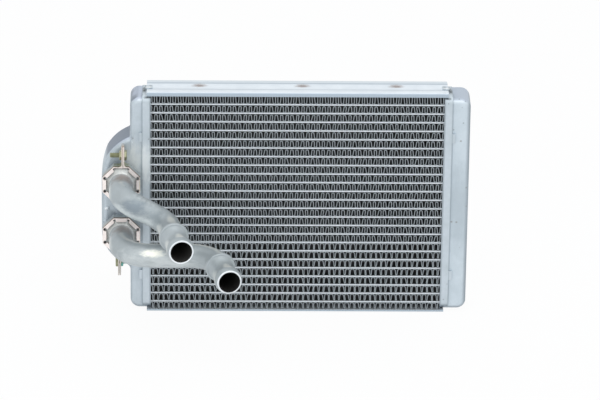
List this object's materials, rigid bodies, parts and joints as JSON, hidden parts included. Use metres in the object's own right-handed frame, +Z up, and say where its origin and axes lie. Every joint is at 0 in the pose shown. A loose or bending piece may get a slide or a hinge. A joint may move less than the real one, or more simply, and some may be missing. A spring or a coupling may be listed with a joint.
{
  "type": "heater core",
  "caption": "Brazed aluminium heater core: flat tubes and folded fins between two tanks, with two bent hose pipes held to the left tank by screwed clamps.",
  "frame": {"origin": "middle of the underside of the bottom side plate, where the core slides into its housing", "axes": "+X along the tubes towards the plain tank, -Y out of the face with the pipes, +Z up the stack of rows"},
  "size_m": [0.2792, 0.1395, 0.1787],
  "materials": {
    "fin_aluminium": "dull brazed sheet",
    "tube_aluminium": "satin",
    "plate_aluminium": "bright satin",
    "header_aluminium": "satin",
    "tank_aluminium": "matt brazed",
    "pipe_aluminium": "satin, drawn",
    "clamp_steel": "zinc plated with a yellow tint",
    "screw_steel": "yellow zinc",
    "seal_rubber": "matt"
  },
  "bodies": {
    "root": {"fin_01": "fin_aluminium", "fin_02": "fin_aluminium", "fin_03": "fin_aluminium", "fin_04": "fin_aluminium", "fin_05": "fin_aluminium", "fin_06": "fin_aluminium", "fin_07": "fin_aluminium", "fin_08": "fin_aluminium", "fin_09": "fin_aluminium", "fin_10": "fin_aluminium", "fin_11": "fin_aluminium", "fin_12": "fin_aluminium", "fin_13": "fin_aluminium", "fin_14": "fin_aluminium", "fin_15": "fin_aluminium", "fin_16": "fin_aluminium", "fin_17": "fin_aluminium", "fin_18": "fin_aluminium", "fin_19": "fin_aluminium", "fin_20": "fin_aluminium", "fin_21": "fin_aluminium", "fin_22": "fin_aluminium", "fin_23": "fin_aluminium", "fin_24": "fin_aluminium", "fin_25": "fin_aluminium", "lower_pass_tubes": "tube_aluminium", "upper_pass_tubes": "tube_aluminium", "top_side_plate": "plate_aluminium", "bottom_side_plate": "plate_aluminium", "right_header": "header_aluminium", "left_header": "header_aluminium", "right_tank": "tank_aluminium", "left_tank": "tank_aluminium", "pass_baffle": "tank_aluminium", "upper_port_collar": "tank_aluminium", "lower_port_collar": "tank_aluminium", "port_seals": "seal_rubber", "upper_pipe": "pipe_aluminium", "lower_pipe": "pipe_aluminium", "upper_clamp": "clamp_steel", "lower_clamp": "clamp_steel", "clamp_screws": "screw_steel", "clamp_nuts": "screw_steel"}
  },
  "joints": []
}
